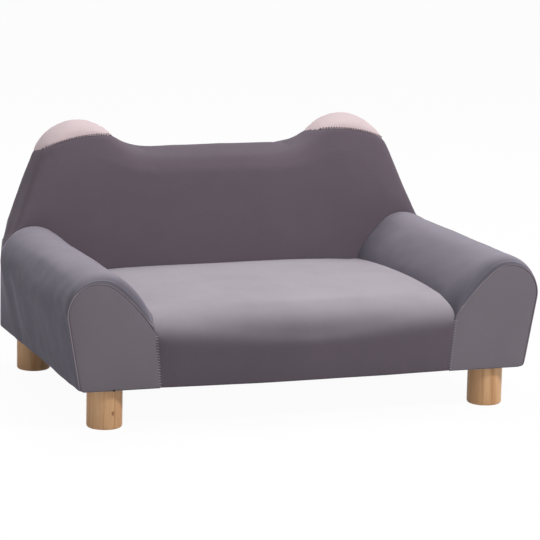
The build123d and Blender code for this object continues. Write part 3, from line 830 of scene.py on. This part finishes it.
def make_seat(arms):
    """The seat: crowned, with a rolled front edge bowed forward and sides that lie against the arms."""
    reach = SEAT_X - TOUCH / 2
    xs = [(reach - SEAT_SIDE_EDGE * (1 - math.cos(turn)), SEAT_SIDE_EDGE * (1 - math.sin(turn)))
          for turn in np.radians(np.linspace(0, 90, 7)[:-1])]
    half = SEAT_SPREAD // 2
    xs += [((reach - SEAT_SIDE_EDGE) * (1 - k / half), 0.0) for k in range(half + 1)]
    xs += [(-x, inset) for x, inset in reversed(xs[:-1])]
    piece = loft_piece("seat_pad", [[(x, y, z) for y, z in seat_outline(x / SEAT_X, inset + SWELL * 0.6)]
                                    for x, inset in xs])
    co = coordinates(piece)
    for index, (x, y, z) in enumerate(co):
        share = float(smoothstep(*SEAT_SIDE_MEETS, abs(x)))
        if share > 0:
            side = int(math.copysign(1, x))
            co[index, 0] += side * arm_gap(arms[side], side, y, z) * share
        near = min(max(abs(x) - SEAT_X + SEAT_TURN_IN, 0) / SEAT_TURN_IN, 1)
        co[index, 1] += max(FACE_Y - y, 0) * (1 - math.sqrt(1 - near ** 2))
    set_coordinates(piece, co)
    held = np.maximum(hem_held(co), smoothstep(*SEAT_REAR_HELD, behind(co)))
    held = np.maximum(held, smoothstep(*SEAT_SIDE_HELD, np.abs(co[:, 0])))
    before = coordinates(piece)
    puff(piece, PRESSURE, SEAT_MOST_SWELL, held)
    swollen = coordinates(piece)
    smooth(piece, 40)
    free = (1 - np.clip(held, 0, 1))[:, None]
    set_coordinates(piece, before + (coordinates(piece) - before) * free + (swollen - before) * (1 - free))
    co = coordinates(piece)
    lift = drape(co, *SEAT_HOLLOWS) + drape(co, *SEAT_CREASES)
    lift_out(piece, lift * (1 - smoothstep(*SEAT_CALM, np.abs(co[:, 0]))))
    finish_piece(piece, seat_velvet, "velvet_grey", "seat_cover", "seat_foam")
    return piece


# Back

def flank_meets_arm(inset):
    """Where the flank under the ear runs into the round of the arm."""
    start = on_circle(EAR, EAR_RADIUS - inset, EAR_TURN)
    turn = math.radians(EAR_TURN)
    down = np.array([math.sin(turn), -math.cos(turn)])
    gap = start - np.array(ARM_REAR.centre)
    along = float(gap @ down)
    radius = ARM_REAR.radius - inset
    return start + (-along - math.sqrt(along ** 2 - float(gap @ gap) + radius ** 2)) * down


def front_side(inset, roll):
    """Foot, bulge over the arm's end and flank up to the ear, on the face of the back."""
    shape = ARM_REAR.inset(inset)
    start, side_top = shape.side_top(BOTTOM_Z)
    top = flank_meets_arm(inset)
    end = math.degrees(math.atan2(top[1] - shape.centre[1], top[0] - shape.centre[0]))
    radius = EAR_RADIUS - inset - roll
    ear_turn = tangent_angle(EAR, radius, top, 1)
    path = points((shape.foot_x, BOTTOM_Z), side_top, 24)
    path += round_points(shape.centre, shape.radius, start, end, 12)
    return path + points(top, on_circle(EAR, radius, ear_turn), 20), ear_turn


def rear_side(inset, roll):
    """Foot, hip and flank up to the ear, at the rear of the back."""
    draw = inset + roll
    path = points((BACK_X - draw, BOTTOM_Z), (BACK_X - draw, HIP[1]), 24)
    path += round_points(HIP, HIP_RADIUS - draw, 0, EAR_TURN, 12)
    ends = on_circle(HIP, HIP_RADIUS - draw, EAR_TURN), on_circle(EAR, EAR_RADIUS - draw, EAR_TURN)
    return path + points(*ends, 20), EAR_TURN


def back_outline(side, inset, roll=0.0):
    """The closed outline of the back with both ears."""
    path, ear_turn = side(inset, roll)
    draw = inset + roll
    path = path + round_points(EAR, EAR_RADIUS - draw, ear_turn, EAR_INNER_TURN, 40)
    path += round_points((BLEND_X, BLEND_Z), SADDLE_BLEND + draw, EAR_INNER_TURN + 180, 270, 16)
    path += points((BLEND_X, SADDLE_Z - draw), (-BLEND_X, SADDLE_Z - draw), 40)[:21]
    half = np.array(path)
    other = (half * np.array([-1, 1]))[::-1]
    return np.vstack([half, other[1:], points(other[-1], half[0], FOOT_POINTS)[1:]])


WRAP_STEP_DOWN = 0.009
FLANK_DRAW = 0.0013


def back_rings(inset):
    """Rings round the back from its leaning face to its upright rear, with rounded edges."""
    edge = BACK_EDGE - inset
    front, rear = [], []
    lean = math.atan(LEAN)
    across = np.array([0, math.sin(lean), math.cos(lean)])
    into = np.array([0, math.cos(lean), -math.sin(lean)])
    for turn in np.radians(np.linspace(0, 90, 7)):
        roll, depth = edge * (1 - math.sin(turn)), inset + edge * (1 - math.cos(turn))
        start = np.array([0, LEAN_FOOT_Y, LEAN_FOOT_Z]) + into * depth
        front.append(np.array([start + across * (z - LEAN_FOOT_Z) + np.array([x, 0, 0])
                               for x, z in back_outline(front_side, inset, roll)]))
        rear.append(np.array([(x, REAR_Y - depth, z) for x, z in back_outline(rear_side, inset, roll)]))
    between = [front[-1] + (rear[-1] - front[-1]) * k / 8 for k in range(1, 8)]
    rings = np.array(front + between + rear[::-1])
    rings[:, :, 2] = np.maximum(rings[:, :, 2], BOTTOM_Z)
    return rings


def ear_seam_point(turn, y, radius):
    """A point of an ear's seam surface, a tilted round that falls from the face of the back to its rear."""
    across = radius * math.cos(math.radians(turn))
    up = radius * math.sin(math.radians(turn)) - (y - lean_y(EAR_SEAM_TOP)) * math.sin(EAR_SEAM_TILT)
    return EAR_SEAM_X + across, EAR_SEAM_Z + up / math.cos(EAR_SEAM_TILT)


EAR_SEAM_INNER_X = (BLEND_X + EAR_X) / 2 - 0.03
EAR_SEAM_NEAR_X = 0.14
EAR_SINK, EAR_SINK_WIDTH, EAR_SEAM_HOLD, EAR_SEAM_HELD = 0.0014, 0.0022, 0.85, 0.006
CORE_X, CORE_Y = 0.28, 0.222
VOXEL = 0.005


def seam_tool(side, gap):
    """A block with a curved lower face, which takes off the ear above its seam."""
    top = EAR_TOP + 0.05
    rings = []
    for y in (LEAN_FOOT_Y - 0.05, REAR_Y + 0.05):
        run = [ear_seam_point(turn, y, EAR_SEAM_RADIUS + gap) for turn in np.linspace(20, 140, 160)]
        run = [p for p in run if EAR_SEAM_INNER_X <= p[0]]
        rings.append([(side * x, y, z) for x, z in run + [(run[-1][0], top), (run[0][0], top)]])
    return tubes("seam_tool", [rings])


def cut_ear(piece, side, gap, operation):
    """Keeps a piece above the seam under an ear, or below it."""
    tool = seam_tool(side, gap)
    shape_with(piece, "BOOLEAN", operation=operation, object=tool, solver="EXACT")
    bpy.data.objects.remove(tool)


def ear_seam_way(co):
    """How far each point lies from the seam under its ear, below it negative."""
    leaning = (co[:, 1] - lean_y(EAR_SEAM_TOP)) * math.sin(EAR_SEAM_TILT)
    up = (co[:, 2] - EAR_SEAM_Z) * math.cos(EAR_SEAM_TILT) + leaning
    return np.hypot(np.abs(co[:, 0]) - EAR_SEAM_X, up) - EAR_SEAM_RADIUS


def seam_nearness(co, width):
    """1 on the seam under an ear, less and less within about a width of it, and 0 far from the ears."""
    return np.exp(-(ear_seam_way(co) / width) ** 2) * (np.abs(co[:, 0]) > EAR_SEAM_NEAR_X)


def sink_seam(piece):
    """Draws the cloth in along the seam under the ears."""
    co = coordinates(piece)
    deep = EAR_SINK * seam_nearness(co, EAR_SINK_WIDTH)
    core_x, core_y = np.clip(co[:, 0], -CORE_X, CORE_X), np.full(len(co), CORE_Y)
    away = np.column_stack([core_x, core_y, co[:, 2]]) - co
    away[:, 2] = np.minimum(EAR_Z + 0.03 - co[:, 2], 0)
    reach = np.linalg.norm(away, axis=1, keepdims=True)
    set_coordinates(piece, co + away / np.maximum(reach, 1e-6) * deep[:, None])


def draw_under_wrap(x, y, z):
    """How far out a point of the back may lie, under an arm's wrap or just above it."""
    share = min(max((y - lean_y(z)) / (REAR_Y - BACK_EDGE - lean_y(z)), 0), 1)
    rise = z - WRAP_TOP
    if rise >= 0:
        drawn = (1 - smoothstep(*FLANK_DRAW_FADES, rise)) * smoothstep(*FLANK_DRAW_GROWS, abs(x))
        return abs(x) - FLANK_DRAW * drawn
    turned = max(y - REAR_Y + BACK_EDGE, 0) / BACK_EDGE
    roll = BACK_EDGE * (1 - math.sqrt(max(1 - turned ** 2, 0)))
    under = 1 - smoothstep(-WRAP_STEP_DOWN, 0.0, rise)
    return min(abs(x), side_x(share, z) - roll - (WRAP + TOUCH) * under - FLANK_DRAW * (1 - under))


def make_back():
    """The padded back with a leaning face, and the two ear caps sewn on above their seams."""
    piece = loft_piece("back_pad", back_rings(0.0005))
    shape_with(piece, "REMESH", mode="VOXEL", voxel_size=VOXEL, use_smooth_shade=True)
    smooth(piece, 3)
    co = coordinates(piece)
    co[:, 0] = [math.copysign(draw_under_wrap(*c), c[0]) for c in co]
    set_coordinates(piece, co)
    seam = EAR_SEAM_HOLD * seam_nearness(co, EAR_SEAM_HELD)
    covered = smoothstep(*BACK_SIDE_HELD, np.abs(co[:, 0]))
    covered *= 1 - smoothstep(*BACK_SIDE_FREE, co[:, 2] - WRAP_TOP)
    sideways = 0.9 * smoothstep(*BACK_SIDEWAYS_HELD, np.abs(coordinates(piece, "normal")[:, 0]))
    puff(piece, BACK_PRESSURE, MOST_SWELL, np.maximum.reduce([hem_held(co), seam, covered, sideways]))
    co = coordinates(piece)
    lift_out(piece, (drape(co, *BACK_HOLLOWS) + drape(co, *BACK_CREASES)) * (1 - covered))
    caps = {}
    for side in (1, -1):
        caps[side] = bpy.data.objects.new(f"ear_pad_{SIDES[side]}", piece.data.copy())
        bpy.context.scene.collection.objects.link(caps[side])
        cut_ear(caps[side], side, 0.0002, "INTERSECT")
        cut_ear(piece, side, 0.0, "DIFFERENCE")
        caps[side].data.shade_smooth()
        sink_seam(caps[side])
        finish_piece(caps[side], ear_velvet, "velvet_pink", f"ear_cap_{SIDES[side]}")
    piece.data.shade_smooth()
    sink_seam(piece)
    finish_piece(piece, back_velvet, "velvet_grey", "back_cover", "back_foam", "back_rear_panel")
    return piece, caps


def make_rear_seam(back, arms):
    """The raised seam that joins the rear panel of the back to the cover and to the arms' wraps."""
    outline = back_outline(rear_side, 0.0, BACK_EDGE)[:2 - FOOT_POINTS]
    outline = np.vstack([outline, outline[0] * np.array([-1, 1])])
    way = np.concatenate([[0], np.cumsum(np.linalg.norm(np.diff(outline, axis=0), axis=1))])
    steps = np.arange(0, way[-1], REAR_RIDGE_STEP)
    lines = [[]]
    for x, z in zip(*(np.interp(steps, way, outline[:, k]) for k in (0, 1))):
        ahead = [hit(piece, (x, REAR_Y + RAY_START, max(z, BOTTOM_Z + 0.001)), (0, -1, 0))
                 for piece in (back, arms[1], arms[-1])]
        depths = [spot[0][1] for spot in ahead if spot and spot[0][1] > REAR_Y - 0.015]
        if depths and (ear_seam_way(np.array([[x, REAR_Y, z]]))[0] < -REAR_RIDGE * 2 or abs(x) < BLEND_X):
            lines[-1].append((x, max(depths), z))
        else:
            lines.append([])
    runs = [ridge_rings(np.array(line), REAR_RIDGE, 0.3, 2, 6) for line in lines if len(line) > 3]
    finish_piece(tubes("seam_ridge_back", runs), back_velvet, "velvet_grey")


# Stitches

LADDER_STEP, LADDER_REACH, LADDER_THREAD = 0.0043, 0.0017, 0.0009
LADDER_PANEL_REACH, LADDER_SLANT = 0.0029, 0.0006
SCALLOP_STEP, SCALLOP_LENGTH, SCALLOP_WIDTH, SCALLOP_ABOVE = 0.0043, 0.0028, 0.0022, 0.0009
STITCH_BOW, STITCH_FLAT = 0.55, 0.8
STITCH_SIZES = ((0.04, 0.45), (0.25, 0.9), (0.5, 1.0), (0.75, 0.9), (0.96, 0.45))


def stitches(name, places, width, material):
    """Short raised stitches, each from one point to another, bowed out along a normal."""
    runs = []
    for start, end, out in places:
        start, end, out = (np.array(v, dtype=float) for v in (start, end, out))
        chord, bow = end - start, out * width * STITCH_BOW
        across = np.cross(chord / np.linalg.norm(chord), out)
        runs.append([ring_round(start + chord * share + bow * (1 - (2 * share - 1) ** 2), across,
                                out * STITCH_FLAT, size * width / 2, 6) for share, size in STITCH_SIZES])
    finish_piece(tubes(name, runs), material, "velvet_grey")


def ladder_stitches(side, panel, seat):
    """Hand stitches that draw the panel's inner edge to the seat."""
    top, foot = (ARM_PANEL.flank_x, ARM_PANEL.flank_z), (ARM_IN_X, BOTTOM_Z)
    ways = (panel, LADDER_PANEL_REACH, LADDER_SLANT), (seat, -LADDER_REACH, -LADDER_SLANT)
    places = []
    for z in np.arange(foot[1] + 0.004, top[1] - 0.002, LADDER_STEP):
        x = foot[0] + (top[0] - foot[0]) * (z - foot[1]) / (top[1] - foot[1])
        ends = [hit(piece, (side * (x + reach), FACE_Y - RAY_START, z + rise), (0, 1, 0))
                for piece, reach, rise in ways]
        if all(ends):
            places.append((ends[0][0], ends[1][0], (0, -1, 0)))
    return places


def ear_stitches(side, cap):
    """Small scallops of thread along the seam under an ear, on the face and the rear of the back."""
    places = []
    for first_y, towards in ((LEAN_FOOT_Y, 1), (REAR_Y, -1)):
        for turn in np.arange(35, 125, math.degrees(SCALLOP_STEP / EAR_SEAM_RADIUS)):
            y, spot = first_y, None
            for _ in range(3):
                x, z = ear_seam_point(turn, y, EAR_SEAM_RADIUS + SCALLOP_ABOVE)
                spot = hit(cap, (side * x, first_y - towards * RAY_START, z), (0, towards, 0))
                y = spot[0][1] if spot else y
            if spot and x > EAR_SEAM_INNER_X:
                out = spot[1] / np.linalg.norm(spot[1])
                slope = math.radians(turn - 90)
                run = np.array([math.cos(slope) * side, 0, math.sin(slope)])
                run -= out * (run @ out)
                run *= SCALLOP_LENGTH / 2 / np.linalg.norm(run)
                middle = spot[0] - out * 0.0002
                places.append((middle - run, middle + run, out))
    return places


TUFT = (((-0.3145, -0.0005, 0.0006), (-0.3105, -0.0005, 0.0022)),
        ((-0.3120, -0.0006, 0.0030), (-0.3112, -0.0006, -0.0008)))


def make_stitches(panels, seat, caps):
    """All the visible thread: ladders beside the seat, scallops under the ears and a tuft at a hem."""
    for side, label in SIDES.items():
        stitches(f"ladder_stitches_{label}", ladder_stitches(side, panels[side], seat), LADDER_THREAD,
                 thread_grey)
        stitches(f"ear_stitches_{label}", ear_stitches(side, caps[side]), SCALLOP_WIDTH, back_velvet)
    tuft = [[np.array(end) + (0, FACE_Y, BOTTOM_Z) for end in ends] + [(0, -1, 0)] for ends in TUFT]
    stitches("hem_tuft_left", tuft, 0.0016, nonwoven)


# Cloth under the body, its staples and the frame inside

DUST_THICK = 0.0008
DUST_CORNER = 0.018
DUST_SAG, DUST_RIPPLE, DUST_CLEAR = 0.0022, 0.0005, 0.0003
DUST_CELL = 0.006


def make_dust_sheet():
    """The thin black cloth under the body, stapled round its edge and slack between the rails."""
    width, length = cloth_high.x - cloth_low.x, cloth_high.y - cloth_low.y
    across, along = round(width / DUST_CELL), round(length / DUST_CELL)
    xs = np.linspace(cloth_low.x, cloth_high.x, across + 1)
    ys = np.linspace(cloth_low.y, cloth_high.y, along + 1)
    coords = []
    for y in ys:
        for x in xs:
            gap_x, gap_y = min(x - xs[0], xs[-1] - x), min(y - ys[0], ys[-1] - y)
            if gap_x < DUST_CORNER and gap_y < DUST_CORNER:
                reach = math.hypot(DUST_CORNER - gap_x, DUST_CORNER - gap_y)
                pull = 1 - DUST_CORNER / max(reach, DUST_CORNER)
                x += math.copysign((DUST_CORNER - gap_x) * pull, -x)
                y += math.copysign((DUST_CORNER - gap_y) * pull, ys.mean() - y)
            edge = min(gap_x, gap_y)
            ripple = DUST_RIPPLE * noise.noise(Vector((x / 0.05, y / 0.05, 4.0)))
            ripple *= smoothstep(*DUST_RIPPLE_GROWS, edge)
            sag = DUST_SAG * smoothstep(*DUST_SAG_GROWS, edge)
            coords.append((x, y, cloth_high.z - DUST_THICK / 2 - sag + ripple - DUST_CLEAR))
    starts = [j * (across + 1) + i for j in range(along) for i in range(across)]
    piece = mesh_piece("dust_sheet", coords, [(a, a + 1, a + across + 2, a + across + 1) for a in starts])
    shape_with(piece, "SOLIDIFY", thickness=DUST_THICK, offset=0)
    finish_piece(piece, nonwoven, "dust_cloth", "dust_cover")


STAPLE_WIDTH, STAPLE_WIRE, STAPLE_IN, STAPLE_STEP = 0.010, 0.0006, 0.007, 0.042

# Each point of a staple: share of its width, height, and how its wire is thick along the staple and upwards
STAPLE = ((-0.5, 0.0035, -1, 0), (-0.5, 0.0, -1, 1), (-0.46, -0.0006, 0, 1),
          (0.46, -0.0006, 0, 1), (0.5, 0.0, 1, 1), (0.5, 0.0035, 1, 0))


def make_staples():
    """Wire staples round the edge of the cloth under the body, one bent wire copied along it."""
    places = [(x, y, 0.0) for y in (cloth_low.y + STAPLE_IN, cloth_high.y - STAPLE_IN)
              for x in np.arange(cloth_low.x + 0.03, cloth_high.x - 0.025, STAPLE_STEP)]
    places += [(x, y, 90.0) for x in (cloth_low.x + STAPLE_IN, cloth_high.x - STAPLE_IN)
               for y in np.arange(cloth_low.y + 0.03, cloth_high.y - 0.025, STAPLE_STEP)]
    height = cloth_high.z - DUST_THICK - DUST_CLEAR
    corners = ((-1, -1), (1, -1), (1, 1), (-1, 1))
    runs = []
    for count, (x, y, turn) in enumerate(places):
        tilt = math.radians(turn + 9 * math.sin(count * 2.3))
        along = np.array([math.cos(tilt), math.sin(tilt), 0])
        side = np.array([-math.sin(tilt), math.cos(tilt), 0]) * STAPLE_WIRE / 2
        runs.append([])
        for share, rise, out, up in STAPLE:
            middle = np.array([x, y, height + rise]) + along * share * STAPLE_WIDTH
            thick = (along * out - np.array([0, 0, up])) * STAPLE_WIRE / 2
            runs[-1].append([middle + side * a + thick * b for a, b in corners])
    finish_piece(tubes("cover_staples", runs), zinc, "zinc_steel")


def dress_frame():
    """Gives every piece of the frame inside its own timber, board or metal."""
    looks = {"leg_hanger": zinc, "leg_tee": zinc, "leg_": leg_wood, "liner": fibreboard, "former": ply,
             "seat_deck": ply, "board": ply, "post": pine_up, "top_rail": pine_across, "slat": pine_deep,
             "riser": pine_across, "bearer": pine_deep, "side_rail": pine_deep, "base_": pine_across}
    for name, node in nodes.items():
        found = [look for key, look in looks.items() if key in name]
        if found:
            node.data.materials.clear()
            node.data.materials.append(found[0])


# The sofa is put together

arms, panels = {}, {}
for side in SIDES:
    arms[side] = make_arm(side)
    panels[side] = make_panel(side)
    make_seam_ridge(side)
seat = make_seat(arms)
back, caps = make_back()
make_rear_seam(back, arms)
make_stitches(panels, seat, caps)
make_dust_sheet()
make_staples()
dress_frame()


# Stage, light and camera

FLOOR_SIZE, FLOOR_GREY, FLOOR_ROUGH, FLOOR_WHITE = 40, 0.90, 0.9, 0.96
SKY_COLOUR, SKY_LEVEL = (0.97, 0.98, 1.0, 1), 0.37


def make_floor():
    """A plain pale floor that keeps the sofa's shadow."""
    bpy.ops.object.select_all(action="DESELECT")
    bpy.ops.mesh.primitive_plane_add(size=FLOOR_SIZE, location=(0, 0, 0))
    floor = bpy.context.object
    floor.name = "floor"
    shader = Shader("floor_paint")
    grey = (FLOOR_GREY, FLOOR_GREY, FLOOR_GREY, 1)
    floor.data.materials.append(shader.finish(grey, FLOOR_ROUGH, Specular_IOR_Level=0.0))
    shader.show_white("ShaderNodeEmission", "Material Output", FLOOR_WHITE)


def make_world():
    """Soft light from all round, seen as white."""
    shader = Shader("studio", "worlds", "Background")
    shader.fill(shader.main, ("Color", SKY_COLOUR), ("Strength", SKY_LEVEL))
    shader.show_white("ShaderNodeBackground", "World Output", 1.0)
    bpy.context.scene.world = shader.owner


def lamp(name, place, size, power):
    """A square soft lamp that points at the middle of the sofa."""
    data = bpy.data.lights.new(name, "AREA")
    data.size = size
    data.energy = power
    lamp_object = bpy.data.objects.new(name, data)
    bpy.context.scene.collection.objects.link(lamp_object)
    lamp_object.location = place
    lamp_object.rotation_euler = (Vector(MIDDLE) - Vector(place)).to_track_quat("-Z", "Y").to_euler()


# The photograph's camera, solved from the legs and the outline: 540 pixels square, focal length in pixels
PICTURE = 540.0
FOCAL = 2871.372
CAMERA_PLACE = (-1.53436, -4.29346, 1.06140)
CAMERA_YAW, CAMERA_PITCH, CAMERA_ROLL = 19.96, 10.83, 1.27
SENSOR = 36.0


def make_camera():
    data = bpy.data.cameras.new("camera")
    data.sensor_width = SENSOR
    data.lens = FOCAL / PICTURE * SENSOR
    data.clip_end = 100
    camera = bpy.data.objects.new("camera", data)
    bpy.context.scene.collection.objects.link(camera)
    yaw, pitch, roll = (math.radians(a) for a in (CAMERA_YAW, CAMERA_PITCH, CAMERA_ROLL))
    turns = (-yaw, "Z"), (math.pi / 2 - pitch, "X"), (roll, "Z")
    first, second, third = (Matrix.Rotation(turn, 4, axis) for turn, axis in turns)
    camera.matrix_world = Matrix.Translation(CAMERA_PLACE) @ first @ second @ third
    bpy.context.scene.camera = camera


MIDDLE = (0.0, 0.0, 0.2)
make_floor()
make_world()
lamp("key", place=(1.7, -2.0, 2.7), size=0.45, power=68)
lamp("top", place=(0.1, 0.8, 2.7), size=1.6, power=45)
make_camera()
bpy.context.scene.view_settings.view_transform = "Standard"
